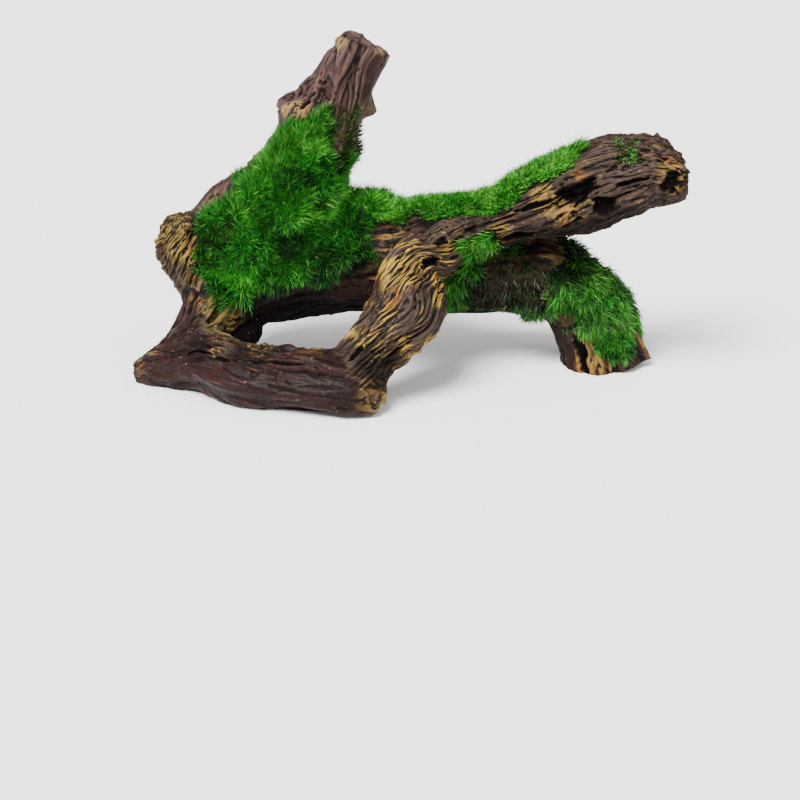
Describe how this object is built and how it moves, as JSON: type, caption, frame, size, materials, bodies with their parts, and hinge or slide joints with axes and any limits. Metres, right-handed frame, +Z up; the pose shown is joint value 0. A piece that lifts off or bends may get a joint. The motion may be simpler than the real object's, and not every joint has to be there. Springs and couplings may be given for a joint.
{
  "type": "mossy driftwood",
  "caption": "Branching piece of driftwood that stands on three feet, with an arch, an upright limb, a long side branch and a loose moss cover.",
  "frame": {"origin": "on the ground under the middle of the object's box", "axes": "+X to the right along the long branch, +Y to the back, away from the log that lies in front, +Z up"},
  "size_m": [0.2188, 0.0918, 0.1355],
  "materials": {
    "bark": "matte dark purple-brown bark, black-brown in the grooves and tan on the ridges",
    "bark_pale": "matte twisted grain with tan and gold ridges over dark brown grooves",
    "moss": "fine green fibres, bright at the tips and dark between the clumps"
  },
  "bodies": {
    "root": {"arch_limb": "bark", "standing_limb": "bark_pale", "long_branch": "bark", "front_root": "bark_pale", "ground_log": "bark", "side_knob": "bark_pale", "moss_mantle": "moss", "moss_leg": "moss", "moss_tuft": "moss"}
  },
  "joints": []
}
